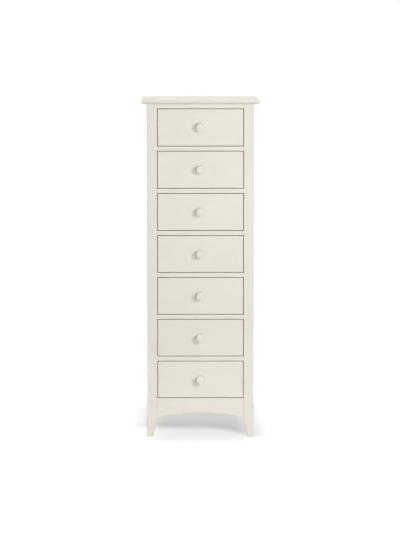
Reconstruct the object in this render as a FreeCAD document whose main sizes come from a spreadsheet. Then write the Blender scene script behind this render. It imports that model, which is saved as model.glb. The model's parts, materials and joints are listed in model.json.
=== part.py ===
import FreeCAD, Part
import math
import os
import re

import Sketcher

doc = FreeCAD.newDocument("narrow_chest_of_drawers")

# Driving sizes of the chest, in millimetres. Counts are whole numbers.
SIZES = {
    # Carcass
    "carcass_width": 400,
    "carcass_depth": 372,
    "post_width": 38,
    "post_depth": 38,
    "post_round": 2,
    "foot_height": 71,
    "foot_width": 22,
    "foot_depth": 24,
    # Top board
    "top_thickness": 18,
    "top_side_overhang": 20,
    "top_front_overhang": 20,
    "top_back_overhang": 8,
    "top_upper_round": 4,
    "top_lower_round": 9,
    # Front rails and apron
    "top_rail_height": 17,
    "divider_height": 17,
    "bottom_rail_height": 17,
    "rail_depth": 45,
    "rail_setback": 1,
    "tenon_length": 10,
    "tenon_width": 10,
    "tenon_setback": 5,
    "tenon_shoulder": 3,
    "apron_height": 75,
    "apron_rise": 20,
    "apron_thickness": 20,
    # Side and back panels
    "side_panel_thickness": 15,
    "side_panel_setback": 4,
    "side_panel_tongue": 8,
    "side_arch_rise": 20,
    "back_panel_thickness": 4,
    "back_rebate_width": 10,
    "back_rail_thickness": 18,
    "back_rail_height": 40,
    "glue_gap": 0.1,
    # Runners, stops and glue blocks
    "runner_height": 17,
    "runner_ledge": 22,
    "guide_height": 20,
    "runner_clearance": 0.3,
    "stop_length": 10,
    "stop_height": 15,
    "block_leg": 42,
    # Drawers
    "drawer_count": 7,
    "drawer_gap": 2,
    "drawer_front_height": 137,
    "drawer_front_thickness": 18,
    "drawer_front_ease": 1.2,
    "drawer_back_space": 52,
    "drawer_side_drop": 11,
    "drawer_side_thickness": 12,
    "drawer_back_thickness": 12,
    "drawer_back_drop": 5,
    "drawer_back_inset": 8,
    "drawer_back_housing": 5,
    "drawer_bottom_thickness": 5,
    "drawer_bottom_rise": 8,
    "bottom_groove_depth": 6,
    "bottom_groove_play": 0.3,
    "dovetail_count": 4,
    "dovetail_lap": 6,
    "dovetail_width": 17,
    "dovetail_flare": 2.5,
    # Knobs
    "knob_projection": 28,
    "knob_diameter": 32,
    "knob_crown_diameter": 26,
    "knob_head_thickness": 14,
    "knob_shoulder_rise": 3,
    "knob_shank_diameter": 12,
}

# How near two places lie, in millimetres, to count as the same when edges are picked
SAME_PLACE = 0.01

sheet = doc.addObject("Spreadsheet::Sheet", "Sizes")
for row, (alias, size) in enumerate(SIZES.items(), start=1):
    sheet.set(f"A{row}", alias)
    sheet.set(f"B{row}", str(size))
    sheet.setAlias(f"B{row}", alias)
doc.recompute()


def sized(text):
    """Turn a sum written with size names into an expression on the sheet."""

    def on_sheet(word):
        return f"Sizes.{word[0]}" if word[0] in SIZES else word[0]

    return re.sub(r"[a-z][a-z_]+", on_sheet, text)


def number(text):
    return float(sheet.evalExpression(sized(text)))


# Places worked out from the driving sizes. The origin lies on the floor under the middle of the chest;
# the front faces -Y.
FRONT_REACH = "max(knob_projection - rail_setback; top_front_overhang)"
FRONT = f"(({FRONT_REACH} - carcass_depth - top_back_overhang) / 2)"
BACK = f"({FRONT} + carcass_depth)"
FACE = f"({FRONT} + rail_setback)"
HALF_WIDTH = "(carcass_width / 2)"
HALF_OPENING = f"({HALF_WIDTH} - post_width)"
APRON_TOP = "(foot_height + apron_height)"
OPENING_HEIGHT = "(drawer_front_height + 2 * drawer_gap)"
PITCH = f"({OPENING_HEIGHT} + divider_height)"
OPENINGS_TOP = f"({APRON_TOP} + drawer_count * {PITCH} - divider_height)"
CARCASS_TOP = f"({OPENINGS_TOP} + top_rail_height)"
PANEL_OUTSIDE = f"({HALF_WIDTH} - side_panel_setback)"
PANEL_INSIDE = f"({PANEL_OUTSIDE} - side_panel_thickness)"
DRAWER_LENGTH = "(carcass_depth - rail_setback - drawer_back_space)"
DRAWER_COUNT = int(round(number("drawer_count")))


def add(kind, label):
    piece = doc.addObject(kind, label)
    piece.Label = label
    return piece


def bind(piece, **expressions):
    for prop, text in expressions.items():
        piece.setExpression(prop, sized(text))
    return piece


def place(piece, across="0", along="0", up="0"):
    for axis, text in zip("xyz", (across, along, up)):
        piece.setExpression(f"Placement.Base.{axis}", sized(text))
    return piece


def block(label, low, high, base=("0", "0", "0")):
    """Rectangular piece between two corners, each given as three sums of sizes from base."""
    piece = add("Part::Box", label)
    spans = [f"({top}) - ({bottom})" for bottom, top in zip(low, high)]
    bind(piece, Length=spans[0], Width=spans[1], Height=spans[2])
    return place(piece, *(f"({start}) + ({shift})" for start, shift in zip(low, base)))


def side_block(label, hand, inner, outer, low, high):
    """Rectangular piece between two distances from the middle, on the left (-1) or right (1) hand."""
    if hand > 0:
        return block(label, (inner, *low), (outer, *high))
    return block(label, (f"-({outer})", *low), (f"-({inner})", *high))


def rod(label, radius, start, length):
    """Round piece that lies with its length towards the back."""
    piece = add("Part::Cylinder", label)
    piece.Placement.Rotation = FreeCAD.Rotation(FreeCAD.Vector(1, 0, 0), -90)
    bind(piece, Radius=radius, Height=length)
    return place(piece, *start)


def joined(label, pieces):
    piece = add("Part::MultiFuse", label)
    piece.Shapes = pieces
    return piece


def group(label, pieces):
    """Several separate solids kept in one node."""
    piece = add("Part::Compound", label)
    piece.Links = pieces
    return piece


def cut(label, base, tools):
    piece = add("Part::Cut", label)
    piece.Base = base
    piece.Tool = tools[0] if len(tools) == 1 else group(f"{label}_tools", tools)
    return piece


def new_body(label):
    return add("PartDesign::Body", label)


def origin_feature(body, role):
    return next(feature for feature in body.Origin.OriginFeatures if feature.Role == role)


def arc_between(start, end, radius):
    """Arc from start to end, bulging to the left of that way where radius is positive.

    Sketch arcs run anticlockwise, so an arc that bulges to the left is drawn from its end to its start.
    """
    chord = end - start
    left = FreeCAD.Vector(-chord.y, chord.x, 0).normalize()
    reach = math.sqrt(radius * radius - chord.Length ** 2 / 4)
    centre = (start + end) * 0.5 - left * math.copysign(reach, radius)
    first, last = (end, start) if radius > 0 else (start, end)
    angles = [math.atan2(point.y - centre.y, point.x - centre.x) for point in (first, last)]
    if angles[1] < angles[0]:
        angles[1] += 2 * math.pi
    circle = Part.Circle(centre, FreeCAD.Vector(0, 0, 1), abs(radius))
    return Part.ArcOfCircle(circle, *angles)


def outline(body, name, role, corners, offset="0"):
    """Closed sketch through corners written as sums of sizes (across, up).

    A third entry in a corner is the radius of an arc from it to the next corner,
    positive where the arc bulges to the left of that way.
    """
    sketch = body.newObject("Sketcher::SketchObject", f"{body.Label}_{name}")
    sketch.AttachmentSupport = (origin_feature(body, role), [""])
    sketch.MapMode = "FlatFace"
    sketch.setExpression("AttachmentOffset.Base.z", sized(offset))
    points = [FreeCAD.Vector(number(corner[0]), number(corner[1]), 0) for corner in corners]
    first_ends = []
    last_ends = []
    for index, corner in enumerate(corners):
        start = points[index]
        end = points[(index + 1) % len(points)]
        turned = len(corner) == 3 and number(corner[2]) > 0
        if len(corner) == 3:
            sketch.addGeometry(arc_between(start, end, number(corner[2])), False)
        else:
            sketch.addGeometry(Part.LineSegment(start, end), False)
        first_ends.append(2 if turned else 1)
        last_ends.append(1 if turned else 2)
    for index, corner in enumerate(corners):
        following = (index + 1) % len(corners)
        sketch.addConstraint(
            Sketcher.Constraint("Coincident", index, last_ends[index], following, first_ends[following])
        )
        for kind, text, value in zip(("DistanceX", "DistanceY"), corner, points[index]):
            distance = Sketcher.Constraint(kind, -1, 1, index, first_ends[index], value)
            rule = sketch.addConstraint(distance)
            sketch.setExpression(f"Constraints[{rule}]", sized(text))
        if len(corner) == 3:
            radius = Sketcher.Constraint("Radius", index, abs(number(corner[2])))
            rule = sketch.addConstraint(radius)
            sketch.setExpression(f"Constraints[{rule}]", sized(f"abs({corner[2]})"))
    return sketch


def pad(body, sketch, length, reverse=False):
    feature = body.newObject("PartDesign::Pad", f"{sketch.Label}_pad")
    feature.Profile = sketch
    feature.Reversed = reverse
    bind(feature, Length=length)
    doc.recompute()
    return feature


def pocket(body, sketch, length, reverse=False):
    before = body.Shape.Volume
    feature = body.newObject("PartDesign::Pocket", f"{sketch.Label}_pocket")
    feature.Profile = sketch
    feature.Reversed = reverse
    bind(feature, Length=length)
    doc.recompute()
    if body.Shape.Volume >= before:
        raise RuntimeError(f"{feature.Label} cuts nothing")
    return feature


def eased(body, kind, name, feature, wanted, **size):
    """Fillet or Chamfer on the edges of a feature that the test wanted picks."""
    edges = enumerate(feature.Shape.Edges, start=1)
    names = [f"Edge{index}" for index, edge in edges if wanted(edge)]
    easing = body.newObject(f"PartDesign::{kind}", f"{body.Label}_{name}")
    easing.Base = (feature, names)
    bind(easing, **size)
    doc.recompute()
    return easing


NODES = []
LEFT = -1
RIGHT = 1
HANDS = {"left": LEFT, "right": RIGHT}

# Tools that hollow each post: mortises for the rails, grooves for the side panels, rebates for the back.
post_tools = {f"post_{end}_{hand}": [] for end in ("front", "back") for hand in HANDS}


def tenoned(label, end, low, high, board=None):
    """Rail between two posts with a tenon at each end; low and high are (along, up) of its section."""
    piece = board or block(f"{label}_board", (f"-{HALF_OPENING}", *low), (HALF_OPENING, *high))
    along = f"{low[0]} + tenon_setback"
    tenon_low = (along, f"{low[1]} + tenon_shoulder")
    tenon_high = (f"{along} + tenon_width", f"{high[1]} - tenon_shoulder")
    mortise_low = tuple(f"{text} - glue_gap" for text in tenon_low)
    mortise_high = tuple(f"{text} + glue_gap" for text in tenon_high)
    tenon_end = f"{HALF_OPENING} + tenon_length"
    mortise_end = f"{tenon_end} + glue_gap"
    tenons = []
    for hand, sign in HANDS.items():
        tenon = side_block(f"{label}_tenon_{hand}", sign, HALF_OPENING, tenon_end, tenon_low, tenon_high)
        tenons.append(tenon)
        mortise = side_block(
            f"{label}_mortise_{hand}", sign, HALF_OPENING, mortise_end, mortise_low, mortise_high
        )
        post_tools[f"post_{end}_{hand}"].append(mortise)
    return joined(label, [piece, *tenons])


def opening_floor(index):
    """Height of the runners under a drawer, counted from the top one."""
    return f"({APRON_TOP} + (drawer_count - {index}) * {PITCH})"


# Front rails: the top rail, a divider under each drawer but the lowest, the bottom rail behind the apron
RAIL_BACK = f"({FACE} + rail_depth)"
NODES.append(tenoned("top_rail", "front", (FACE, OPENINGS_TOP), (RAIL_BACK, CARCASS_TOP)))
dividers = []
for index in range(1, DRAWER_COUNT):
    floor = opening_floor(index)
    low = (FACE, f"{floor} - divider_height")
    dividers.append(tenoned(f"divider_{index}", "front", low, (RAIL_BACK, floor)))
NODES.append(group("divider_rails", dividers))
APRON_BACK = f"({FACE} + apron_thickness)"
low = (APRON_BACK, f"{APRON_TOP} - bottom_rail_height")
NODES.append(tenoned("bottom_rail", "front", low, (RAIL_BACK, APRON_TOP)))

# Apron: a board whose lower edge is one shallow arch from post to post
apron_radius = f"({HALF_OPENING} ^ 2 + apron_rise ^ 2) / (2 * apron_rise)"
apron_board = new_body("apron_board")
apron_outline = outline(
    apron_board,
    "outline",
    "XZ_Plane",
    [
        (f"-{HALF_OPENING}", "foot_height", apron_radius),
        (HALF_OPENING, "foot_height"),
        (HALF_OPENING, APRON_TOP),
        (f"-{HALF_OPENING}", APRON_TOP),
    ],
    offset=f"-{FACE}",
)
pad(apron_board, apron_outline, "apron_thickness", reverse=True)
low = (FACE, "foot_height")
NODES.append(tenoned("apron", "front", low, (APRON_BACK, APRON_TOP), board=apron_board))

# Rear rails: one under the top and one behind the lowest drawer, in front of the back panel
BACK_PANEL_FACE = f"({BACK} - back_panel_thickness)"
BACK_RAIL_FACE = f"({BACK_PANEL_FACE} - back_rail_thickness)"
BACK_LOW = f"({APRON_TOP} - back_rail_height)"
back_rail_levels = {
    "back_rail_upper": (OPENINGS_TOP, CARCASS_TOP),
    "back_rail_lower": (BACK_LOW, APRON_TOP),
}
back_rails = []
for label, (low, high) in back_rail_levels.items():
    back_rails.append(tenoned(label, "back", (BACK_RAIL_FACE, low), (BACK_PANEL_FACE, high)))
NODES.append(group("back_rails", back_rails))

# Back panel: a thin sheet lying in rebates of the rear posts
back_reach = f"({HALF_OPENING} + back_rebate_width - glue_gap)"
NODES.append(
    block("back_panel", (f"-{back_reach}", BACK_PANEL_FACE, BACK_LOW), (back_reach, BACK, CARCASS_TOP))
)
for hand, sign in HANDS.items():
    rebate_low = (BACK_PANEL_FACE, f"{BACK_LOW} - glue_gap")
    rebate = side_block(
        f"back_rebate_{hand}",
        sign,
        HALF_OPENING,
        f"{HALF_OPENING} + back_rebate_width",
        rebate_low,
        (BACK, CARCASS_TOP),
    )
    post_tools[f"post_back_{hand}"].append(rebate)

# Side panels: boards held by their edges in grooves of the posts, arched below like the apron
INNER_FRONT = f"({FRONT} + post_depth)"
INNER_BACK = f"({BACK} - post_depth)"
half_span = "(carcass_depth / 2 - post_depth)"
side_radius = f"({half_span} ^ 2 + side_arch_rise ^ 2) / (2 * side_arch_rise)"
for hand, sign in HANDS.items():
    panel = new_body(f"side_panel_{hand}")
    panel_outline = outline(
        panel,
        "outline",
        "YZ_Plane",
        [
            (f"{INNER_FRONT} - side_panel_tongue", "foot_height"),
            (INNER_FRONT, "foot_height", side_radius),
            (INNER_BACK, "foot_height"),
            (f"{INNER_BACK} + side_panel_tongue", "foot_height"),
            (f"{INNER_BACK} + side_panel_tongue", CARCASS_TOP),
            (f"{INNER_FRONT} - side_panel_tongue", CARCASS_TOP),
        ],
        offset=PANEL_INSIDE if sign > 0 else f"-{PANEL_OUTSIDE}",
    )
    pad(panel, panel_outline, "side_panel_thickness")
    NODES.append(panel)
    groove_ends = {
        "front": (f"{INNER_FRONT} - side_panel_tongue - glue_gap", INNER_FRONT),
        "back": (INNER_BACK, f"{INNER_BACK} + side_panel_tongue + glue_gap"),
    }
    for end, (low, high) in groove_ends.items():
        groove = side_block(
            f"panel_groove_{end}_{hand}",
            sign,
            f"{PANEL_INSIDE} - glue_gap",
            f"{PANEL_OUTSIDE} + glue_gap",
            (low, "foot_height"),
            (high, CARCASS_TOP),
        )
        post_tools[f"post_{end}_{hand}"].append(groove)


def standing_at(across, along):
    """Test for the edges that run straight up at one place."""
    return lambda edge: all(
        math.hypot(vertex.X - across, vertex.Y - along) < SAME_PLACE for vertex in edge.Vertexes
    )


# Corner posts: square posts whose feet taper on their two inner sides
for end in ("front", "back"):
    outer_face = FRONT if end == "front" else BACK
    inner_face = INNER_FRONT if end == "front" else INNER_BACK
    foot_face = f"{FRONT} + foot_depth" if end == "front" else f"{BACK} - foot_depth"
    near_face = FRONT if end == "front" else INNER_BACK
    for hand, sign in HANDS.items():
        label = f"post_{end}_{hand}"
        post = new_body(f"{label}_blank")
        post_outline = outline(
            post,
            "outline",
            "XZ_Plane",
            [
                (f"{sign} * {HALF_WIDTH}", "0"),
                (f"{sign} * ({HALF_WIDTH} - foot_width)", "0"),
                (f"{sign} * {HALF_OPENING}", "foot_height"),
                (f"{sign} * {HALF_OPENING}", CARCASS_TOP),
                (f"{sign} * {HALF_WIDTH}", CARCASS_TOP),
            ],
            offset=f"-{near_face}",
        )
        pad(post, post_outline, "post_depth", reverse=True)
        taper = outline(
            post,
            "taper",
            "YZ_Plane",
            [(inner_face, "0"), (inner_face, "foot_height"), (foot_face, "0")],
        )
        tapered = pocket(post, taper, HALF_WIDTH, reverse=sign > 0)
        outer_corner = standing_at(sign * number(HALF_WIDTH), number(outer_face))
        eased(post, "Fillet", "round", tapered, outer_corner, Radius="post_round")
        NODES.append(cut(label, post, post_tools[label]))

# Runners: L-shaped battens along the side panels, with a ledge under the drawer and a guide beside it
LEDGE_INSIDE = f"({HALF_OPENING} - runner_ledge)"
for hand, sign in HANDS.items():
    runners = []
    for index in range(1, DRAWER_COUNT + 1):
        runner = new_body(f"runner_{hand}_{index}")
        section = outline(
            runner,
            "section",
            "XZ_Plane",
            [
                (f"{sign} * {PANEL_INSIDE}", "-runner_height"),
                (f"{sign} * {LEDGE_INSIDE}", "-runner_height"),
                (f"{sign} * {LEDGE_INSIDE}", "0"),
                (f"{sign} * {HALF_OPENING}", "0"),
                (f"{sign} * {HALF_OPENING}", "guide_height"),
                (f"{sign} * {PANEL_INSIDE}", "guide_height"),
            ],
            offset=f"-{RAIL_BACK}",
        )
        pad(runner, section, f"{INNER_BACK} - {RAIL_BACK}", reverse=True)
        runners.append(place(runner, up=opening_floor(index)))
    NODES.append(group(f"runners_{hand}", runners))

# Drawer stops: small blocks on the ledges, just behind the closed drawer's sides
stops = []
stop_front = f"({FACE} + {DRAWER_LENGTH} + runner_clearance)"
for index in range(1, DRAWER_COUNT + 1):
    floor = opening_floor(index)
    for hand, sign in HANDS.items():
        low = (stop_front, floor)
        high = (f"{stop_front} + stop_length", f"{floor} + stop_height")
        stops.append(side_block(f"stop_{hand}_{index}", sign, LEDGE_INSIDE, HALF_OPENING, low, high))
NODES.append(group("drawer_stops", stops))

# Glue blocks in the corners under the top: three-cornered blocks that hold the top board to the carcass
corner_blocks = []
for end, wall, inwards in (("front", RAIL_BACK, 1), ("back", INNER_BACK, -1)):
    for hand, sign in HANDS.items():
        glue_block = new_body(f"corner_block_{end}_{hand}")
        triangle = outline(
            glue_block,
            "triangle",
            "XY_Plane",
            [
                (f"{sign} * {PANEL_INSIDE}", wall),
                (f"{sign} * {PANEL_INSIDE}", f"{wall} + {inwards} * block_leg"),
                (f"{sign} * ({PANEL_INSIDE} - block_leg)", wall),
            ],
            offset=OPENINGS_TOP,
        )
        pad(glue_block, triangle, "top_rail_height")
        corner_blocks.append(glue_block)
NODES.append(group("corner_blocks", corner_blocks))

# Top board: its front and side edges are rounded a little above and more below
HALF_TOP = f"({HALF_WIDTH} + top_side_overhang)"
TOP_FRONT = f"({FRONT} - top_front_overhang)"
TOP_BACK = f"({BACK} + top_back_overhang)"
TOP_LEVEL = f"({CARCASS_TOP} + top_thickness)"
top = new_body("top")
top_outline = outline(
    top,
    "outline",
    "XY_Plane",
    [
        (f"-{HALF_TOP}", TOP_FRONT),
        (HALF_TOP, TOP_FRONT),
        (HALF_TOP, TOP_BACK),
        (f"-{HALF_TOP}", TOP_BACK),
    ],
    offset=CARCASS_TOP,
)
board = pad(top, top_outline, "top_thickness")


def moulded_edge(level):
    """Test for the front and side edges of the top board at one height."""
    height = number(level)
    back = number(TOP_BACK)
    return lambda edge: edge.CenterOfMass.y < back - SAME_PLACE and all(
        abs(vertex.Z - height) < SAME_PLACE for vertex in edge.Vertexes
    )


upper = eased(top, "Fillet", "upper_round", board, moulded_edge(TOP_LEVEL), Radius="top_upper_round")
eased(top, "Fillet", "lower_round", upper, moulded_edge(CARCASS_TOP), Radius="top_lower_round")
NODES.append(top)

# Drawers. Each is drawn around its own zero: the middle of its front face, at the height of its runners.
HALF_FRONT = f"({HALF_OPENING} - drawer_gap)"
BOX_INSIDE = f"({HALF_FRONT} - drawer_side_thickness)"
SIDE_TOP = "(drawer_gap + drawer_front_height - drawer_side_drop)"
BOTTOM_LOW = "(runner_clearance + drawer_bottom_rise)"
BOTTOM_HIGH = f"({BOTTOM_LOW} + drawer_bottom_thickness)"
GROOVE_HIGH = f"({BOTTOM_HIGH} + bottom_groove_play)"
GROOVE_REACH = f"({BOX_INSIDE} + bottom_groove_depth)"
BACK_REAR = f"({DRAWER_LENGTH} - drawer_back_inset)"
BACK_FRONT = f"({BACK_REAR} - drawer_back_thickness)"
KNOB_HEIGHT = "(drawer_gap + drawer_front_height / 2)"
KNOB_HOLE = "(knob_shank_diameter / 2 + glue_gap)"
TAIL_STEP = f"(({SIDE_TOP} - runner_clearance) / dovetail_count)"


def tail_corners(play):
    """One dovetail seen from the side, wide at its tip; play widens it into the socket."""
    middle = f"(runner_clearance + {TAIL_STEP} / 2)"
    tip = f"(dovetail_width / 2 + {play})"
    root = f"(dovetail_width / 2 - dovetail_flare + {play})"
    return [
        (f"dovetail_lap - {play}", f"{middle} - {tip}"),
        ("drawer_front_thickness", f"{middle} - {root}"),
        ("drawer_front_thickness", f"{middle} + {root}"),
        (f"dovetail_lap - {play}", f"{middle} + {tip}"),
    ]


def repeated_up(body, features):
    """Repeat the dovetails of a piece evenly up its height."""
    pattern = body.newObject("PartDesign::LinearPattern", f"{body.Label}_pattern")
    pattern.Originals = features
    pattern.Direction = (origin_feature(body, "Z_Axis"), [""])
    bind(pattern, Length=f"{TAIL_STEP} * (dovetail_count - 1)", Occurrences="dovetail_count")
    body.Tip = pattern
    doc.recompute()


def in_front_face(edge):
    return all(abs(vertex.Y) < SAME_PLACE for vertex in edge.Vertexes)


def drawer_front(label):
    """Board with eased front arrises, dovetail sockets in both ends and a groove for the bottom."""
    board = new_body(f"{label}_board")
    face = outline(
        board,
        "face",
        "XZ_Plane",
        [
            (f"-{HALF_FRONT}", "drawer_gap"),
            (HALF_FRONT, "drawer_gap"),
            (HALF_FRONT, "drawer_gap + drawer_front_height"),
            (f"-{HALF_FRONT}", "drawer_gap + drawer_front_height"),
        ],
    )
    blank = pad(board, face, "drawer_front_thickness", reverse=True)
    eased(board, "Chamfer", "ease", blank, in_front_face, Size="drawer_front_ease")
    sockets = []
    for hand, sign in HANDS.items():
        offset = f"{sign} * {HALF_FRONT}"
        socket = outline(board, f"socket_{hand}", "YZ_Plane", tail_corners("glue_gap"), offset)
        sockets.append(pocket(board, socket, "drawer_side_thickness + glue_gap", reverse=sign < 0))
    repeated_up(board, sockets)
    groove = block(
        f"{label}_groove",
        (f"-{GROOVE_REACH}", "drawer_front_thickness - bottom_groove_depth", BOTTOM_LOW),
        (GROOVE_REACH, "drawer_front_thickness", GROOVE_HIGH),
    )
    hole = rod(f"{label}_hole", KNOB_HOLE, ("0", "0", KNOB_HEIGHT), "drawer_front_thickness")
    return cut(label, board, [groove, hole])


def drawer_side(label, sign):
    """Board with dovetails at its front end, a groove for the bottom and a housing for the back."""
    board = new_body(f"{label}_board")
    offset = BOX_INSIDE if sign > 0 else f"-{HALF_FRONT}"
    face = outline(
        board,
        "face",
        "YZ_Plane",
        [
            ("drawer_front_thickness", "runner_clearance"),
            (DRAWER_LENGTH, "runner_clearance"),
            (DRAWER_LENGTH, SIDE_TOP),
            ("drawer_front_thickness", SIDE_TOP),
        ],
        offset,
    )
    pad(board, face, "drawer_side_thickness")
    tail = outline(board, "tail", "YZ_Plane", tail_corners("0"), offset)
    repeated_up(board, [pad(board, tail, "drawer_side_thickness")])
    groove = side_block(
        f"{label}_groove",
        sign,
        BOX_INSIDE,
        GROOVE_REACH,
        ("dovetail_lap", BOTTOM_LOW),
        (DRAWER_LENGTH, GROOVE_HIGH),
    )
    housing = side_block(
        f"{label}_housing",
        sign,
        BOX_INSIDE,
        f"{BOX_INSIDE} + drawer_back_housing",
        (f"{BACK_FRONT} - glue_gap", BOTTOM_HIGH),
        (f"{BACK_REAR} + glue_gap", SIDE_TOP),
    )
    return cut(label, board, [groove, housing])


def knob(label):
    """Turned knob: a wide head with an eased front, on a straight shank through the drawer front."""
    turned = new_body(label)
    head_back = "-(knob_projection - knob_head_thickness)"
    shoulder = "-(knob_projection - knob_shoulder_rise)"
    profile = outline(
        turned,
        "profile",
        "XY_Plane",
        [
            ("0", "drawer_front_thickness"),
            ("0", "-knob_projection"),
            ("knob_crown_diameter / 2", "-knob_projection"),
            ("knob_diameter / 2", shoulder),
            ("knob_diameter / 2", head_back),
            ("knob_shank_diameter / 2", head_back),
            ("knob_shank_diameter / 2", "drawer_front_thickness"),
        ],
    )
    form = turned.newObject("PartDesign::Revolution", f"{label}_form")
    form.Profile = profile
    form.ReferenceAxis = (profile, ["V_Axis"])
    form.Angle = 360
    doc.recompute()
    return turned


for index in range(1, DRAWER_COUNT + 1):
    drawer = f"drawer_{index}"
    zero = ("0", FACE, opening_floor(index))
    NODES.append(place(drawer_front(f"{drawer}_front"), *zero))
    sides = [drawer_side(f"{drawer}_side_{hand}", sign) for hand, sign in HANDS.items()]
    NODES.append(place(group(f"{drawer}_sides", sides), *zero))
    housed = f"({BOX_INSIDE} + drawer_back_housing - glue_gap)"
    low = (f"-{housed}", BACK_FRONT, BOTTOM_HIGH)
    high = (housed, BACK_REAR, f"{SIDE_TOP} - drawer_back_drop")
    NODES.append(block(f"{drawer}_back", low, high, zero))
    reach = f"({GROOVE_REACH} - bottom_groove_play)"
    front_edge = "drawer_front_thickness - bottom_groove_depth + bottom_groove_play"
    low = (f"-{reach}", front_edge, BOTTOM_LOW)
    high = (reach, BACK_REAR, BOTTOM_HIGH)
    NODES.append(block(f"{drawer}_bottom", low, high, zero))
    NODES.append(place(knob(f"{drawer}_knob"), "0", FACE, f"{zero[2]} + {KNOB_HEIGHT}"))

doc.recompute()
for piece in doc.Objects:
    if {"Invalid", "Error"} & set(piece.State):
        raise RuntimeError(f"{piece.Label} failed: {piece.State}")
for node in NODES:
    if node.Shape.isNull() or not node.Shape.isValid():
        raise RuntimeError(f"{node.Label} has no valid shape")

os.makedirs("parts", exist_ok=True)
for node in NODES:
    node.Shape.exportStep(f"parts/{node.Label}.step")
print(len(NODES), "nodes,", sum(len(node.Shape.Solids) for node in NODES), "solids")
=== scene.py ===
import json
import math

import bmesh
import bpy
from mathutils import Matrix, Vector


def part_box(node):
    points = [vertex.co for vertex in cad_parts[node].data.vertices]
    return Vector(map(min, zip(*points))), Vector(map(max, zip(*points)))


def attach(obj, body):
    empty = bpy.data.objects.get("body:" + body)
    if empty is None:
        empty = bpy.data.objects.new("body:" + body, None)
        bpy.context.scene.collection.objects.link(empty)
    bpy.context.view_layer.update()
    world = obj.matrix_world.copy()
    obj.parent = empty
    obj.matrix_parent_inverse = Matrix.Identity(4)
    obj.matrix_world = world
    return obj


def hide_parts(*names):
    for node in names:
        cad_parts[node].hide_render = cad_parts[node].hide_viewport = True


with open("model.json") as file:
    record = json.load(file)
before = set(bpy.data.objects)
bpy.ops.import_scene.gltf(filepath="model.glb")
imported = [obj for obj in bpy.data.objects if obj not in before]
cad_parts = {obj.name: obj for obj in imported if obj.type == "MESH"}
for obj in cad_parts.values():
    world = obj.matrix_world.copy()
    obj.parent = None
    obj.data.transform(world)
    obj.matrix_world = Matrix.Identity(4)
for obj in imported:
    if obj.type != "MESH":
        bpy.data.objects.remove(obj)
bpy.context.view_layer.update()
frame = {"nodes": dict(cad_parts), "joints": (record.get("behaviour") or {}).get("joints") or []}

# Corner posts: four square softwood posts that carry the whole chest. Their feet are sawn to a
# taper on the two inner sides, the arrises are eased by sanding, and rails are tenoned into them.
# They are painted with the rest of the outside in a satin ivory, brushed along their length.
FOOT_HEIGHT = 0.071
FOOT_WIDTH = 0.022
FOOT_DEPTH = 0.024
POST_EASE = 0.0016
EASE_STEPS = 3
ARRIS_ANGLE = 40.0
SMOOTH_ANGLE = 50.0
FLAT_ENOUGH = 0.95
TOUCHING = 0.00001


def start_block(name, low, high):
    """New block between two corners, with its place in its mesh."""
    bpy.ops.object.select_all(action="DESELECT")
    bpy.ops.mesh.primitive_cube_add(size=1, location=(Vector(low) + Vector(high)) / 2)
    piece = bpy.context.active_object
    piece.name = name
    piece.scale = Vector(high) - Vector(low)
    bpy.ops.object.transform_apply(location=True, rotation=True, scale=True)
    return piece


def choose(piece, kind, wanted):
    """Go into edit mode with only the wanted VERT, EDGE or FACE elements of a piece selected."""
    bpy.ops.object.mode_set(mode="EDIT")
    bpy.ops.mesh.select_mode(type=kind)
    bpy.ops.mesh.select_all(action="DESELECT")
    mesh = bmesh.from_edit_mesh(piece.data)
    for element in {"VERT": mesh.verts, "EDGE": mesh.edges, "FACE": mesh.faces}[kind]:
        element.select_set(wanted(element))
    mesh.select_flush_mode()
    bmesh.update_edit_mesh(piece.data)


def leave_edit():
    """Go back from edit mode to object mode."""
    bpy.ops.object.mode_set(mode="OBJECT")


def taper_foot(post, floor_level, axis, inner, pull):
    """Draw one inner side of a post's foot in where it meets the floor; axis is 0 or 1."""

    def at_inner_side(vert):
        return vert.co.z < floor_level + TOUCHING and abs(vert.co[axis] - inner) < TOUCHING

    choose(post, "VERT", at_inner_side)
    shift = [0, 0, 0]
    shift[axis] = pull
    bpy.ops.transform.translate(value=shift)


def apply_modifier(piece, kind, **settings):
    """Put one modifier on a piece and apply it."""
    modifier = piece.modifiers.new(kind.lower(), kind)
    for setting, value in settings.items():
        setattr(modifier, setting, value)
    bpy.context.view_layer.objects.active = piece
    bpy.ops.object.modifier_apply(modifier=modifier.name)


def ease_arrises(piece, width):
    """Round all sharp edges of a piece a little."""
    apply_modifier(
        piece,
        "BEVEL",
        width=width,
        segments=EASE_STEPS,
        limit_method="ANGLE",
        angle_limit=math.radians(ARRIS_ANGLE),
    )


def smooth_faces(piece):
    """Shade a piece smoothly and note its rounded faces, which the paint film gives a painted highlight.
    """
    arris = piece.data.attributes.new("arris", "FLOAT", "FACE")
    for face in piece.data.polygons:
        flat = max(abs(part) for part in face.normal) > FLAT_ENOUGH
        arris.data[face.index].value = 0.0 if flat else 1.0
    bpy.ops.object.select_all(action="DESELECT")
    piece.select_set(True)
    bpy.ops.object.shade_smooth_by_angle(angle=math.radians(SMOOTH_ANGLE))
    apply_modifier(piece, "WEIGHTED_NORMAL", keep_sharp=True)


def add_node(tree, kind, settings=None, **inputs):
    """New shader node; an input, by its name or by _ and its number, takes a value or a socket."""
    node = tree.nodes.new(kind)
    for setting, value in (settings or {}).items():
        setattr(node, setting, value)
    for name, value in inputs.items():
        socket = node.inputs[int(name[1:]) if name[1:].isdigit() else name.replace("_", " ")]
        if isinstance(value, bpy.types.NodeSocket):
            tree.links.new(value, socket)
        else:
            socket.default_value = value
    return node


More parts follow.
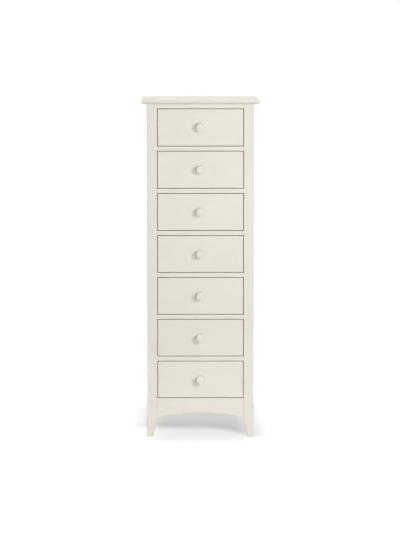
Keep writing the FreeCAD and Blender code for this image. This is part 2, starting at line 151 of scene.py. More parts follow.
def new_group(name, inputs, outputs):
    """Empty shader node group with named sockets; gives its tree, input node and output node."""
    tree = bpy.data.node_groups.new(name, "ShaderNodeTree")
    for direction, sockets in (("INPUT", inputs), ("OUTPUT", outputs)):
        for socket, kind in sockets.items():
            tree.interface.new_socket(socket, in_out=direction, socket_type=f"NodeSocket{kind}")
    return tree, tree.nodes.new("NodeGroupInput"), tree.nodes.new("NodeGroupOutput")


def new_material(name):
    """New material; gives the material, its node tree and its shader."""
    material = bpy.data.materials.new(name)
    material.use_nodes = True
    return material, material.node_tree, material.node_tree.nodes["Principled BSDF"]


def object_place(tree):
    """Output socket of the place on the object."""
    return add_node(tree, "ShaderNodeTexCoord").outputs["Object"]


def mix_colours(tree, share, first, second):
    """Output socket of a colour between two others."""
    mixer = add_node(tree, "ShaderNodeMix", {"data_type": "RGBA"}, _0=share, _6=first, _7=second)
    return mixer.outputs[2]


def reckon(tree, operation, *values):
    """Output socket of one sum with up to three values or sockets."""
    inputs = {f"_{number}": value for number, value in enumerate(values)}
    return add_node(tree, "ShaderNodeMath", {"operation": operation}, **inputs).outputs[0]


def noise(tree, place, scale, detail, roughness=0.5):
    """Output socket of an uneven pattern."""
    pattern = add_node(
        tree, "ShaderNodeTexNoise", Vector=place, Scale=scale, Detail=detail, Roughness=roughness
    )
    return pattern.outputs[0]


def carry_over(tree, value, start, end, new_start=0.0, new_end=1.0, curve="LINEAR"):
    """Output socket of a value carried over from one range to another and held at its ends."""
    carried = add_node(
        tree,
        "ShaderNodeMapRange",
        {"interpolation_type": curve},
        Value=value,
        From_Min=start,
        From_Max=end,
        To_Min=new_start,
        To_Max=new_end,
    )
    return carried.outputs[0]


NOISE_LOW = 0.3
NOISE_HIGH = 0.7


def spread(tree, pattern, low, high):
    """Output socket of an uneven pattern stretched onto a range."""
    return carry_over(tree, pattern, NOISE_LOW, NOISE_HIGH, low, high)


# One coat of paint laid off with a brush: fine strokes, faint clouding, and a painted highlight on the
# rounded arrises
IVORY = (0.785, 0.755, 0.684, 1.0)
IVORY_SHADE = (0.745, 0.712, 0.637, 1.0)
# A lighter ivory for the rounded arrises: a painted highlight along the edges
IVORY_ARRIS_HIGHLIGHT = (0.800, 0.772, 0.712, 1.0)
UPRIGHT_STROKES = (420.0, 420.0, 9.0)
STROKE_DETAIL = 4.0
STROKE_SHARE = 0.35
CLOUD_SCALE = 5.0
CLOUD_DETAIL = 3.0
CLOUD_SHARE = 0.45
TOOTH_SCALE = 900.0
TOOTH_DETAIL = 2.0
TOOTH_RELIEF = 0.25
HIGHLIGHT_LEAST = 0.2
HIGHLIGHT_MOST = 0.9
SATIN_SMOOTH = 0.36
SATIN_DULL = 0.46
PAINT_SHINE = 0.4
PAINT_RELIEF = 0.0004
PAINT_BUMP = 0.12
paint_film, film_in, film_out = new_group(
    "paint_film",
    {"Place": "Vector", "Stroke": "Vector", "Paint": "Color", "Shade": "Color", "Arris": "Color"},
    {"Color": "Color", "Roughness": "Float", "Height": "Float"},
)
strokes = noise(paint_film, film_in.outputs["Stroke"], 1.0, STROKE_DETAIL)
clouds = noise(paint_film, film_in.outputs["Place"], CLOUD_SCALE, CLOUD_DETAIL)
tooth = noise(paint_film, film_in.outputs["Place"], TOOTH_SCALE, TOOTH_DETAIL)
# Rounded faces get the lighter ivory mixed in, more or less with the clouds: a painted highlight along the
# arrises
rounded_faces = add_node(paint_film, "ShaderNodeAttribute", {"attribute_name": "arris"}).outputs["Fac"]
highlight_share = reckon(paint_film, "MULTIPLY", rounded_faces, spread(paint_film, clouds, HIGHLIGHT_LEAST, HIGHLIGHT_MOST))
clouding = reckon(
    paint_film,
    "ADD",
    spread(paint_film, clouds, 0.0, CLOUD_SHARE),
    spread(paint_film, strokes, 0.0, STROKE_SHARE),
)
coat = mix_colours(paint_film, clouding, film_in.outputs["Paint"], film_in.outputs["Shade"])
coat = mix_colours(paint_film, highlight_share, coat, film_in.outputs["Arris"])
satin = spread(paint_film, strokes, SATIN_SMOOTH, SATIN_DULL)
relief = reckon(paint_film, "MULTIPLY_ADD", tooth, TOOTH_RELIEF, strokes)
paint_film.links.new(coat, film_out.inputs["Color"])
paint_film.links.new(satin, film_out.inputs["Roughness"])
paint_film.links.new(relief, film_out.inputs["Height"])


def painted(name, strokes):
    """Satin ivory paint with brush strokes drawn out along one way."""
    material, tree, shader = new_material(name)
    place = object_place(tree)
    drawn = add_node(tree, "ShaderNodeMapping", Vector=place, Scale=strokes)
    film = add_node(
        tree,
        "ShaderNodeGroup",
        {"node_tree": paint_film},
        Place=place,
        Stroke=drawn.outputs[0],
        Paint=IVORY,
        Shade=IVORY_SHADE,
        Arris=IVORY_ARRIS_HIGHLIGHT,
    )
    bump = add_node(
        tree,
        "ShaderNodeBump",
        Strength=PAINT_BUMP,
        Distance=PAINT_RELIEF,
        Height=film.outputs["Height"],
    )
    shader.inputs["Specular IOR Level"].default_value = PAINT_SHINE
    tree.links.new(film.outputs["Color"], shader.inputs["Base Color"])
    tree.links.new(film.outputs["Roughness"], shader.inputs["Roughness"])
    tree.links.new(bump.outputs[0], shader.inputs["Normal"])
    return material


def dress(piece, material, body, node):
    """Give a painted piece its finish, let it ride on its body and stand for its CAD node."""
    piece.data.materials.clear()
    piece.data.materials.append(material)
    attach(piece, body)
    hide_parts(node)


paint_upright = painted("ivory_paint_upright", UPRIGHT_STROKES)
for end in ("front", "back"):
    for hand in ("left", "right"):
        post_node = f"post_{end}_{hand}"
        post_low, post_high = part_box(post_node)
        post = start_block(f"{post_node}_painted", post_low, post_high)
        choose(post, "FACE", lambda face: True)
        bpy.ops.mesh.bisect(plane_co=(0, 0, post_low.z + FOOT_HEIGHT), plane_no=(0, 0, 1))
        inner_x = post_high.x if hand == "left" else post_low.x
        inner_y = post_high.y if end == "front" else post_low.y
        pull_x = (post_high.x - post_low.x - FOOT_WIDTH) * (-1 if hand == "left" else 1)
        pull_y = (post_high.y - post_low.y - FOOT_DEPTH) * (-1 if end == "front" else 1)
        taper_foot(post, post_low.z, 0, inner_x, pull_x)
        taper_foot(post, post_low.z, 1, inner_y, pull_y)
        leave_edit()
        ease_arrises(post, POST_EASE)
        smooth_faces(post)
        dress(post, paint_upright, "carcass", post_node)

# Side panels: glued-up softwood boards held by their edges in grooves of the posts, painted with them.
# The lower edge is sawn to one shallow arch from post to post.
PANEL_EASE = 0.0010
ARCH_RISE = 0.020
ARCH_SIDES = 360
SAW_DEPTH = 0.2


def cut_away(piece, tool):
    """Take the shape of a tool out of a piece and put the tool away."""
    apply_modifier(piece, "BOOLEAN", operation="DIFFERENCE", solver="EXACT", object=tool)
    bpy.data.objects.remove(tool)


def saw_arch(piece, along, span_start, span_end, lower_edge):
    """Cut one shallow arch out of a board's lower edge; along is the board's level axis, 0 or 1."""
    half_span = (span_end - span_start) / 2
    radius = (half_span * half_span + ARCH_RISE * ARCH_RISE) / (2 * ARCH_RISE)
    saw_radius = radius / math.cos(math.pi / ARCH_SIDES)
    middle = (Vector(piece.bound_box[0]) + Vector(piece.bound_box[6])) / 2
    middle[along] = (span_start + span_end) / 2
    middle.z = lower_edge + ARCH_RISE - radius
    turn = (math.pi / 2, 0, 0) if along == 0 else (0, math.pi / 2, 0)
    bpy.ops.object.select_all(action="DESELECT")
    bpy.ops.mesh.primitive_cylinder_add(
        vertices=ARCH_SIDES, radius=saw_radius, depth=SAW_DEPTH, location=middle, rotation=turn
    )
    cut_away(piece, bpy.context.active_object)


front_post_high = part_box("post_front_left")[1]
back_post_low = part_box("post_back_left")[0]
for hand in ("left", "right"):
    panel_node = f"side_panel_{hand}"
    panel_low, panel_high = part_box(panel_node)
    panel = start_block(f"{panel_node}_painted", panel_low, panel_high)
    saw_arch(panel, 1, front_post_high.y, back_post_low.y, panel_low.z)
    ease_arrises(panel, PANEL_EASE)
    smooth_faces(panel)
    dress(panel, paint_upright, "carcass", panel_node)

# Front rails: straight softwood rails above and between the drawers, tenoned into the posts. Only the
# front of them is painted; behind the first few millimetres the wood is bare.
RAIL_EASE = 0.0008
LEVEL_STROKES = (9.0, 420.0, 420.0)
PAINT_LAP = 0.008
LAP_EDGE = 0.0008
WAVER_SCALE = 60.0
WAVER_DETAIL = 3.0
WAVER_DEPTH = 0.006

# Planed softwood: growth rings cut lengthwise, with fine fibres along them
PINE_LIGHT = (0.610, 0.405, 0.205, 1.0)
PINE_DARK = (0.400, 0.215, 0.085, 1.0)
GRAIN_ALONG = 1.6
GRAIN_ACROSS = 22.0
GROWTH_DETAIL = 2.0
GROWTH_ROUGHNESS = 0.4
RING_COUNT = 11.0
RING_SHARE = 0.55
LATE_WOOD = 2.6
FIBRE_SCALE = 18.0
FIBRE_DETAIL = 3.0
FIBRE_SHARE = 0.3
TONE_SCALE = 3.0
TONE_DETAIL = 1.0
TONE_DARK = 0.92
TONE_LIGHT = 1.08
PLANED_SMOOTH = 0.50
PLANED_DULL = 0.62
softwood, pine_in, pine_out = new_group(
    "softwood",
    {"Place": "Vector", "Grain": "Vector", "Light": "Color", "Dark": "Color"},
    {"Color": "Color", "Roughness": "Float", "Height": "Float"},
)
growth = noise(softwood, pine_in.outputs["Grain"], 1.0, GROWTH_DETAIL, GROWTH_ROUGHNESS)
ring = reckon(softwood, "FRACT", reckon(softwood, "MULTIPLY", growth, RING_COUNT))
late = reckon(softwood, "POWER", ring, LATE_WOOD)
fibre = noise(softwood, pine_in.outputs["Grain"], FIBRE_SCALE, FIBRE_DETAIL)
tone = noise(softwood, pine_in.outputs["Place"], TONE_SCALE, TONE_DETAIL)
figure = reckon(
    softwood, "MULTIPLY_ADD", late, RING_SHARE, spread(softwood, fibre, 0.0, FIBRE_SHARE)
)
wood = mix_colours(softwood, figure, pine_in.outputs["Light"], pine_in.outputs["Dark"])
warm = add_node(
    softwood,
    "ShaderNodeHueSaturation",
    Value=spread(softwood, tone, TONE_DARK, TONE_LIGHT),
    Color=wood,
)
planed = spread(softwood, fibre, PLANED_SMOOTH, PLANED_DULL)
softwood.links.new(warm.outputs[0], pine_out.inputs["Color"])
softwood.links.new(planed, pine_out.inputs["Roughness"])
softwood.links.new(figure, pine_out.inputs["Height"])


def pine_nodes(tree, place, along, light, dark):
    """Softwood group in a material, with its grain along one axis (0, 1 or 2)."""
    scale = [GRAIN_ACROSS] * 3
    scale[along] = GRAIN_ALONG
    grain = add_node(tree, "ShaderNodeMapping", Vector=place, Scale=scale)
    return add_node(
        tree,
        "ShaderNodeGroup",
        {"node_tree": softwood},
        Place=place,
        Grain=grain.outputs[0],
        Light=light,
        Dark=dark,
    )


def part_painted(name, strokes, along, lap):
    """Paint that laps a little way onto bare softwood; lap is the place along Y where it ends."""
    material = painted(name, strokes)
    tree = material.node_tree
    film = next(node for node in tree.nodes if node.type == "GROUP")
    shader = tree.nodes["Principled BSDF"]
    place = object_place(tree)
    bare = pine_nodes(tree, place, along, PINE_LIGHT, PINE_DARK)
    waver = noise(tree, place, WAVER_SCALE, WAVER_DETAIL)
    depth = add_node(tree, "ShaderNodeSeparateXYZ", Vector=place).outputs["Y"]
    edge = reckon(tree, "MULTIPLY_ADD", waver, WAVER_DEPTH, depth)
    mask = carry_over(tree, edge, lap, lap + LAP_EDGE)
    colour = mix_colours(tree, mask, film.outputs["Color"], bare.outputs["Color"])
    dull = add_node(
        tree, "ShaderNodeMix", _0=mask, _2=film.outputs["Roughness"], _3=bare.outputs["Roughness"]
    )
    tree.links.new(colour, shader.inputs["Base Color"])
    tree.links.new(dull.outputs[0], shader.inputs["Roughness"])
    return material


def duplicate(piece, name, shift):
    """Copy of a piece with a mesh of its own, shifted in that mesh."""
    bpy.ops.object.select_all(action="DESELECT")
    piece.select_set(True)
    bpy.context.view_layer.objects.active = piece
    bpy.ops.object.duplicate()
    copy = bpy.context.active_object
    copy.name = name
    copy.location = shift
    bpy.ops.object.transform_apply(location=True, rotation=False, scale=False)
    return copy


def join_pieces(first, others, name):
    """Make one piece of several like ones and leave it selected."""
    bpy.ops.object.select_all(action="DESELECT")
    for piece in others:
        piece.select_set(True)
    first.select_set(True)
    bpy.context.view_layer.objects.active = first
    bpy.ops.object.join()
    first.name = name


opening_left = front_post_high.x
rail_low, rail_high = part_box("top_rail")
rail_low.x = opening_left
rail_high.x = -opening_left
paint_rail = part_painted("ivory_paint_rail", LEVEL_STROKES, 0, rail_low.y + PAINT_LAP)
top_rail = start_block("top_rail_painted", rail_low, rail_high)
ease_arrises(top_rail, RAIL_EASE)
smooth_faces(top_rail)
drawer_count = len(frame["joints"])
first_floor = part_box("drawer_1_sides")[0].z
last_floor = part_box(f"drawer_{drawer_count}_sides")[0].z
drawer_step = (first_floor - last_floor) / (drawer_count - 1)
divider_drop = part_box("divider_rails")[1].z - rail_high.z
dividers = []
for number in range(1, drawer_count):
    shift = (0, 0, divider_drop - (number - 1) * drawer_step)
    dividers.append(duplicate(top_rail, f"divider_{number}", shift))
join_pieces(dividers[0], dividers[1:], "divider_rails_painted")
dress(top_rail, paint_rail, "carcass", "top_rail")
dress(dividers[0], paint_rail, "carcass", "divider_rails")

# Apron: a painted board under the lowest drawer, tenoned into both front posts.
# Its lower edge is sawn to a shallow arch with the same rise as that of the side panels.
APRON_EASE = 0.0007
TIP_WELD = 0.00004


def weld(piece, reach):
    """Merge the corners of a piece that lie within a reach of each other."""
    bpy.ops.object.select_all(action="DESELECT")
    piece.select_set(True)
    bpy.context.view_layer.objects.active = piece
    choose(piece, "VERT", lambda vert: True)
    bpy.ops.mesh.remove_doubles(threshold=reach)
    leave_edit()


apron_low, apron_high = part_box("apron")
apron_low.x = opening_left
apron_high.x = -opening_left
apron = start_block("apron_painted", apron_low, apron_high)
saw_arch(apron, 0, opening_left, -opening_left, apron_low.z)
ease_arrises(apron, APRON_EASE)
weld(apron, TIP_WELD)
smooth_faces(apron)
paint_level = painted("ivory_paint_level", LEVEL_STROKES)
dress(apron, paint_level, "carcass", "apron")

# Bare softwood of the carcass: the bottom rail, the rear rails, the runners with their guides, the
# drawer stops and the glue blocks. Planed, glued in place and left unpainted.
WOOD_SHINE = 0.3
WOOD_RELIEF = 0.0003
WOOD_BUMP = 0.15


def bare_wood(name, along, light=PINE_LIGHT, dark=PINE_DARK):
    """Unpainted softwood with its grain along one axis (0, 1 or 2)."""
    material, tree, shader = new_material(name)
    pine = pine_nodes(tree, object_place(tree), along, light, dark)
    bump = add_node(
        tree,
        "ShaderNodeBump",
        Strength=WOOD_BUMP,
        Distance=WOOD_RELIEF,
        Height=pine.outputs["Height"],
    )
    shader.inputs["Specular IOR Level"].default_value = WOOD_SHINE
    tree.links.new(pine.outputs["Color"], shader.inputs["Base Color"])
    tree.links.new(pine.outputs["Roughness"], shader.inputs["Roughness"])
    tree.links.new(bump.outputs[0], shader.inputs["Normal"])
    return material


def refinish(node, material):
    """Put a finish on a CAD node that keeps its own shape."""
    for material_slot in frame["nodes"][node].material_slots:
        material_slot.material = material


bare_across = bare_wood("bare_pine_across", 0)
bare_lengthwise = bare_wood("bare_pine_lengthwise", 1)
for node in ("bottom_rail", "back_rails", "drawer_stops", "corner_blocks"):
    refinish(node, bare_across)
for node in ("runners_left", "runners_right"):
    refinish(node, bare_lengthwise)

# Back panel: one thin sheet of plywood lying in rebates of the rear posts and on the rear rails,
# left unpainted.
PLY_LIGHT = (0.560, 0.400, 0.235, 1.0)
PLY_DARK = (0.450, 0.300, 0.160, 1.0)
sheet_upright = bare_wood("plywood_upright", 2, PLY_LIGHT, PLY_DARK)
refinish("back_panel", sheet_upright)

# Back panel pins: small steel pins with low domed heads, driven through the sheet into the rear posts
# and rails along its edges.
PIN_RADIUS = 0.0022
PIN_HEAD = 0.0010
PIN_SUNK = 0.0003
PIN_DOME = 0.0007
PIN_DOME_STEPS = 3
PIN_SIDES = 16
PIN_INSET = 0.005
PIN_ROWS = 9
PIN_COLUMNS = 4
STEEL_LIGHT = (0.580, 0.565, 0.540, 1.0)
STEEL_DARK = (0.330, 0.315, 0.290, 1.0)
STEEL_SMOOTH = 0.30
STEEL_DULL = 0.55
TARNISH_SCALE = 900.0
TARNISH_DETAIL = 2.0
sheet_low, sheet_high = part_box("back_panel")
head_inside = sheet_high.y - PIN_SUNK
head_outside = head_inside + PIN_HEAD
first_pin = (sheet_low.x + PIN_INSET, (head_inside + head_outside) / 2, sheet_low.z + PIN_INSET)
bpy.ops.object.select_all(action="DESELECT")
bpy.ops.mesh.primitive_cylinder_add(
    vertices=PIN_SIDES,
    radius=PIN_RADIUS,
    depth=PIN_HEAD,
    location=first_pin,
    rotation=(math.pi / 2, 0, 0),
)
pins = bpy.context.active_object
bpy.ops.object.transform_apply(location=True, rotation=True, scale=True)
choose(pins, "EDGE", lambda edge: all(vert.co.y > head_outside - TOUCHING for vert in edge.verts))
bpy.ops.mesh.bevel(offset=PIN_DOME, segments=PIN_DOME_STEPS, affect="EDGES")
leave_edit()
column_step = (sheet_high.x - sheet_low.x - 2 * PIN_INSET) / (PIN_COLUMNS - 1)
row_step = (sheet_high.z - sheet_low.z - 2 * PIN_INSET) / (PIN_ROWS - 1)
pin_copies = []
for column in range(PIN_COLUMNS):
    for row in range(PIN_ROWS):
        on_post = column in (0, PIN_COLUMNS - 1)
        on_rail = row in (0, PIN_ROWS - 1)
        if (on_post or on_rail) and (column or row):
            shift = (column_step * column, 0, row_step * row)
            pin_copies.append(duplicate(pins, f"back_panel_pin_{column}_{row}", shift))
join_pieces(pins, pin_copies, "back_panel_pins")
bpy.ops.object.shade_smooth_by_angle(angle=math.radians(SMOOTH_ANGLE))
pin_steel, steel_tree, steel_shader = new_material("pin_steel")
tarnish = noise(steel_tree, object_place(steel_tree), TARNISH_SCALE, TARNISH_DETAIL)
steel_colour = mix_colours(steel_tree, tarnish, STEEL_DARK, STEEL_LIGHT)
steel_finish = spread(steel_tree, tarnish, STEEL_SMOOTH, STEEL_DULL)
steel_shader.inputs["Metallic"].default_value = 1.0
steel_tree.links.new(steel_colour, steel_shader.inputs["Base Color"])
steel_tree.links.new(steel_finish, steel_shader.inputs["Roughness"])
pins.data.materials.append(pin_steel)
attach(pins, "carcass")

# Top board: a painted softwood board that overhangs the front and both sides. Its edge is moulded
# with a small round above and a larger one below; it is glued to the rails and the glue blocks.
TOP_UPPER_ROUND = 0.004
TOP_UPPER_STEPS = 6
TOP_LOWER_ROUND = 0.009
TOP_LOWER_STEPS = 8
TOP_EASE = 0.0006


def mould_edge(top, level, back, width, steps):
    """Round the front and side edges of the top board at one height."""

    def is_moulded(edge):
        ends = [vert.co for vert in edge.verts]
        at_level = all(abs(end.z - level) < TOUCHING for end in ends)
        return at_level and not all(abs(end.y - back) < TOUCHING for end in ends)

    choose(top, "EDGE", is_moulded)
    bpy.ops.mesh.bevel(offset=width, segments=steps, affect="EDGES")


top_low, top_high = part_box("top")
top = start_block("top_painted", top_low, top_high)
mould_edge(top, top_high.z, top_high.y, TOP_UPPER_ROUND, TOP_UPPER_STEPS)
mould_edge(top, top_low.z, top_high.y, TOP_LOWER_ROUND, TOP_LOWER_STEPS)
leave_edit()
ease_arrises(top, TOP_EASE)
weld(top, TIP_WELD)
smooth_faces(top)
dress(top, paint_level, "carcass", "top")

# Drawer boxes: softwood sides dovetailed into the front, a back housed in the sides and a thin
# plywood bottom slid into grooves. All of them are planed and left bare.
DRAWER_LIGHT = (0.640, 0.440, 0.235, 1.0)
DRAWER_DARK = (0.450, 0.255, 0.110, 1.0)
drawer_lengthwise = bare_wood("drawer_pine_lengthwise", 1, DRAWER_LIGHT, DRAWER_DARK)
drawer_across = bare_wood("drawer_pine_across", 0, DRAWER_LIGHT, DRAWER_DARK)
sheet_across = bare_wood("plywood_across", 0, PLY_LIGHT, PLY_DARK)
for number in range(1, drawer_count + 1):
    refinish(f"drawer_{number}_sides", drawer_lengthwise)
    refinish(f"drawer_{number}_back", drawer_across)
    refinish(f"drawer_{number}_bottom", sheet_across)

# Drawer fronts: flat painted softwood boards with eased arrises, lying just behind the face of the
# posts. Their ends have sockets for the dovetails of the sides; the inner face is left bare.
FRONT_EASE = 0.0013
FRONT_BARE = 0.0035
KNOB_SHANK = 0.006
GLUE_GAP = 0.0001
DRILL_DEPTH = 0.1
DRILL_SIDES = 48
SAME_PLACE = 0.000001


def repeat_for_drawers(piece, ending):
    """Copies of the first drawer's piece for the other drawers; gives all of them in order."""
    pieces = [piece]
    for number in range(2, drawer_count + 1):
        shift = (0, 0, -drawer_step * (number - 1))
        pieces.append(duplicate(piece, f"drawer_{number}_{ending}", shift))
    return pieces


front_low, front_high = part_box("drawer_1_front")
knob_low, knob_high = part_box("drawer_1_knob")
knob_height = (knob_low.z + knob_high.z) / 2
first_front = start_block("drawer_1_front_painted", front_low, front_high)
ease_arrises(first_front, FRONT_EASE)
tails = frame["nodes"]["drawer_1_sides"].copy()
tails.data = tails.data.copy()
bpy.context.collection.objects.link(tails)
weld(tails, SAME_PLACE)
cut_away(first_front, tails)
bpy.ops.object.select_all(action="DESELECT")
bpy.ops.mesh.primitive_cylinder_add(
    vertices=DRILL_SIDES,
    radius=KNOB_SHANK + GLUE_GAP,
    depth=DRILL_DEPTH,
    location=(0, front_high.y, knob_height),
    rotation=(math.pi / 2, 0, 0),
)
cut_away(first_front, bpy.context.active_object)
smooth_faces(first_front)
paint_front = part_painted("ivory_paint_front", LEVEL_STROKES, 0, front_high.y - FRONT_BARE)
fronts = repeat_for_drawers(first_front, "front_painted")
for number, front in enumerate(fronts, start=1):
    dress(front, paint_front, f"drawer_{number}", f"drawer_{number}_front")

# Knobs: turned from softwood and painted with the fronts. The straight shank of each goes through the
# drawer front, where it is glued and trimmed flush; its end is bare.
KNOB_HEAD = 0.014
KNOB_CROWN = 0.0012
KNOB_RIM_WIDTH = 0.0008
KNOB_RIM_FALL = 0.0012
KNOB_BACK_ROUND = 0.004
KNOB_COVE = 0.0035
KNOB_STEPS = 64
KNOB_START = 0.001
KNOB_SMOOTH_ANGLE = 40.0
KNOB_STROKES = (420.0, 60.0, 420.0)
ARC_STEPS = 6


def turned_arc(centre, reach, rise, start, end):
    """Points (out from the axis, off the drawer front) of an arc of a turning, angles in degrees."""
    turns = [math.radians(start + (end - start) * step / ARC_STEPS) for step in range(ARC_STEPS + 1)]
    return [(centre[0] + reach * math.cos(turn), centre[1] + rise * math.sin(turn)) for turn in turns]


knob_radius = (knob_high.x - knob_low.x) / 2
front_face = front_low.y
knob_tip = front_face - knob_low.y
shank_end = front_face - knob_high.y
head_back = knob_tip - KNOB_HEAD
crown_radius = (knob_radius ** 2 + KNOB_CROWN ** 2) / (2 * KNOB_CROWN)
shoulder = knob_radius - KNOB_RIM_WIDTH
crown_edge = math.degrees(math.acos(shoulder / crown_radius))
crown_centre = (0.0, knob_tip - crown_radius)
profile = turned_arc(crown_centre, crown_radius, crown_radius, 90, crown_edge)
rim_centre = (shoulder, profile[-1][1] - KNOB_RIM_FALL)
profile += turned_arc(rim_centre, KNOB_RIM_WIDTH, KNOB_RIM_FALL, 90, 0)[1:]
back_centre = (knob_radius - KNOB_BACK_ROUND, head_back + KNOB_BACK_ROUND)
profile += turned_arc(back_centre, KNOB_BACK_ROUND, KNOB_BACK_ROUND, 0, -90)
cove_centre = (KNOB_SHANK + KNOB_COVE, head_back - KNOB_COVE)
profile += turned_arc(cove_centre, KNOB_COVE, KNOB_COVE, 90, 180)
profile += [(KNOB_SHANK, shank_end), (0.0, shank_end)]
bpy.ops.object.select_all(action="DESELECT")
bpy.ops.mesh.primitive_plane_add(size=KNOB_START, location=(0, knob_low.y, knob_height))
first_knob = bpy.context.active_object
first_knob.name = "drawer_1_knob_turned"
bpy.ops.object.transform_apply(location=True, rotation=True, scale=True)
choose(first_knob, "VERT", lambda vert: True)
bpy.ops.mesh.merge(type="CENTER")
for (reach, out), (next_reach, next_out) in zip(profile, profile[1:]):
    bpy.ops.mesh.extrude_region_move(
        TRANSFORM_OT_translate={"value": (next_reach - reach, out - next_out, 0)}
    )
bpy.ops.mesh.select_all(action="SELECT")
bpy.ops.mesh.spin(
    steps=KNOB_STEPS, angle=2 * math.pi, center=(0, front_face, knob_height), axis=(0, 1, 0)
)
bpy.ops.mesh.select_all(action="SELECT")
bpy.ops.mesh.remove_doubles(threshold=SAME_PLACE)
bpy.ops.mesh.normals_make_consistent(inside=False)
leave_edit()
bpy.ops.object.shade_smooth_by_angle(angle=math.radians(KNOB_SMOOTH_ANGLE))
paint_knob = part_painted("ivory_paint_knob", KNOB_STROKES, 1, front_face + PAINT_LAP)
knobs = repeat_for_drawers(first_knob, "knob_turned")
for number, knob in enumerate(knobs, start=1):
    dress(knob, paint_knob, f"drawer_{number}", f"drawer_{number}_knob")

# Floor: plain and white, running into the white background. Seen by the camera it gives off its own white
# glow, and that glow is turned down round the feet as a painted shadow: pale round and in front of the
# feet, deeper behind a line that bends forwards to the right front foot, fading out to the sides and the
# back. The lamps also cast their own shadows on it.
FLOOR_SIZE = 60.0
FLOOR_SEEN = (0.25, 0.25, 0.25, 1.0)
FLOOR_BOUNCE = (0.52, 0.51, 0.49, 1.0)
FLOOR_ROUGHNESS = 0.9
FLOOR_FADE = 0.45
# Strength of the floor's glow inside the painted shadow, in front of the feet and behind them
SHADE_FRONT = 0.75
SHADE_BEHIND = 0.47
SHADE_START = -0.045
SHADE_END = 0.13
SHADE_SLANT = 0.24
SHADE_BEND = 2.0
SHADE_LEAD = 0.06
SHADE_REACH = 0.30
SHADE_INSET = 0.06
SIDE_FADE = 2.6
WHITE = (1.0, 1.0, 1.0, 1.0)


def vector_sum(tree, operation, *values):
    """Node for one sum with up to two vectors or sockets."""
    inputs = {f"_{number}": value for number, value in enumerate(values)}
    return add_node(tree, "ShaderNodeVectorMath", {"operation": operation}, **inputs)


bpy.ops.object.select_all(action="DESELECT")
bpy.ops.mesh.primitive_plane_add(size=FLOOR_SIZE, location=(0, 0, 0))
floor = bpy.context.active_object
floor.name = "floor"
floor_paint, floor_tree, floor_shader = new_material("white_floor")
floor_shader.inputs["Roughness"].default_value = FLOOR_ROUGHNESS
floor_shader.inputs["Specular IOR Level"].default_value = 0.0
floor_shader.inputs["Emission Color"].default_value = WHITE
feet_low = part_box("post_front_left")[0]
feet_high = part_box("post_back_right")[1]
shade_depth = feet_high.y - feet_low.y + SHADE_LEAD + SHADE_REACH
shade_middle = feet_low.y - SHADE_LEAD + shade_depth / 2
shade_width = feet_high.x - feet_low.x - 2 * SHADE_INSET
shade_half = (shade_width / 2 * SIDE_FADE, shade_depth / 2, 1.0)
floor_place = object_place(floor_tree)
from_middle = add_node(
    floor_tree,
    "ShaderNodeMapping",
    Vector=floor_place,
    Location=(0, -shade_middle, 0),
    Scale=(SIDE_FADE, 1, 1),
)
off_middle = vector_sum(floor_tree, "ABSOLUTE", from_middle.outputs[0])
beyond = vector_sum(floor_tree, "SUBTRACT", off_middle.outputs[0], shade_half)
outside = vector_sum(floor_tree, "MAXIMUM", beyond.outputs[0], (0, 0, 0))
away = vector_sum(floor_tree, "LENGTH", outside.outputs[0])
floor_axes = add_node(floor_tree, "ShaderNodeSeparateXYZ", Vector=floor_place)
to_right = carry_over(floor_tree, floor_axes.outputs["X"], 0.0, feet_high.x)
bend = reckon(floor_tree, "POWER", to_right, SHADE_BEND)
slant = reckon(floor_tree, "MULTIPLY_ADD", bend, SHADE_SLANT, floor_axes.outputs["Y"])
# Painted shadow: the floor's glow is lighter in front of the feet and lower behind a line bending to the
# right front foot
painted_shadow = carry_over(
    floor_tree, slant, SHADE_START, SHADE_END, SHADE_FRONT, SHADE_BEHIND, curve="SMOOTHSTEP"
)
# Away from the feet the painted shadow fades and the glow rises to full white
glow_with_painted_shadow = carry_over(floor_tree, away.outputs["Value"], 0.0, FLOOR_FADE, painted_shadow, 1.0)
floor_in_view = add_node(floor_tree, "ShaderNodeLightPath").outputs["Is Camera Ray"]
floor_colour = mix_colours(floor_tree, floor_in_view, FLOOR_BOUNCE, FLOOR_SEEN)
# Only camera rays see the glow with its painted shadow
floor_glow = reckon(floor_tree, "MULTIPLY", floor_in_view, glow_with_painted_shadow)
floor_tree.links.new(floor_colour, floor_shader.inputs["Base Color"])
floor_tree.links.new(floor_glow, floor_shader.inputs["Emission Strength"])
floor.data.materials.append(floor_paint)

# Light: a pale, slightly warm room and six soft lamps, slightly cool. The key stands near on the right,
# a little above the top; a broad fill far in front; a narrow low one lights the feet and the apron, one
# hangs over the top and two stand behind. The key and the two behind don't show in reflections.
ROOM_LIGHT = 0.36
ROOM_TINT = (1.0, 0.955, 0.82, 1.0)
LAMP_TINT = (0.985, 0.997, 1.04)
ALL_ROUND = 180.0
room = bpy.data.worlds.new("studio")
bpy.context.scene.world = room
room.use_nodes = True
room_tree = room.node_tree
background = room_tree.nodes["Background"]
room_rays = add_node(room_tree, "ShaderNodeLightPath")
room_in_view = reckon(
    room_tree, "MAXIMUM", room_rays.outputs["Is Camera Ray"], room_rays.outputs["Is Glossy Ray"]
)
room_glow = carry_over(room_tree, room_in_view, 0.0, 1.0, ROOM_LIGHT, 1.0)
room_colour = mix_colours(room_tree, room_in_view, ROOM_TINT, WHITE)
room_tree.links.new(room_glow, background.inputs["Strength"])
room_tree.links.new(room_colour, background.inputs["Color"])


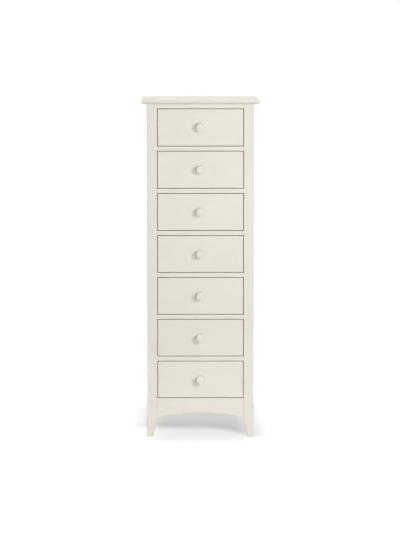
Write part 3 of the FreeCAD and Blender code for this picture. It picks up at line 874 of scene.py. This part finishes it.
def soft_lamp(name, place, aim, size, power, fan=ALL_ROUND, mirrored=True):
    """Rectangular lamp that looks at one point."""
    bpy.ops.object.light_add(type="AREA", location=place)
    lamp = bpy.context.active_object
    lamp.name = name
    lamp.visible_camera = False
    lamp.visible_glossy = mirrored
    lamp.data.shape = "RECTANGLE"
    lamp.data.size = size[0]
    lamp.data.size_y = size[1]
    lamp.data.energy = power
    lamp.data.color = LAMP_TINT
    lamp.data.spread = math.radians(fan)
    lamp.rotation_euler = (Vector(aim) - Vector(place)).to_track_quat("-Z", "Y").to_euler()


soft_lamp(
    "key", place=(1.95, -3.20, 1.54), aim=(0.0, -0.17, 0.10), size=(0.6, 0.6), power=45.0, mirrored=False
)
soft_lamp("fill", place=(0.6, -6.0, 0.95), aim=(0.0, -0.17, 0.60), size=(2.4, 1.0), power=108.0)
soft_lamp(
    "low", place=(0.25, -1.7, 0.09), aim=(-0.24, -0.17, 0.0), size=(1.2, 0.14), power=0.18, fan=30.0
)
soft_lamp("overhead", place=(0.0, 0.10, 3.6), aim=(0.0, 0.0, 1.0), size=(0.8, 0.8), power=26.0)
soft_lamp(
    "rear_left", place=(-2.6, 2.6, 1.80), aim=(0.0, 0.0, 0.60), size=(1.2, 1.2), power=45.0, mirrored=False
)
soft_lamp(
    "rear_right", place=(2.9, 2.0, 1.80), aim=(0.0, 0.0, 0.60), size=(1.2, 1.2), power=38.0, mirrored=False
)

# Camera: far off with a long lens, a little to the left and a little above the top, so that the
# chest stands almost square to the picture.
CAMERA_PLACE = (-0.1003, -9.915, 1.559)
CAMERA_DOWN = 5.370
CAMERA_RIGHT = 0.579
CAMERA_SIGHT = 100.0
IMAGE_WIDTH = 400
SENSOR = 36.0
FOCAL_PIXELS = 2609.0
bpy.ops.object.camera_add(
    location=CAMERA_PLACE,
    rotation=(math.radians(90 - CAMERA_DOWN), 0, math.radians(-CAMERA_RIGHT)),
)
camera = bpy.context.active_object
camera.data.sensor_fit = "HORIZONTAL"
camera.data.sensor_width = SENSOR
camera.data.lens = FOCAL_PIXELS * SENSOR / IMAGE_WIDTH
camera.data.clip_end = CAMERA_SIGHT
bpy.context.scene.camera = camera
bpy.context.scene.view_settings.view_transform = "Standard"
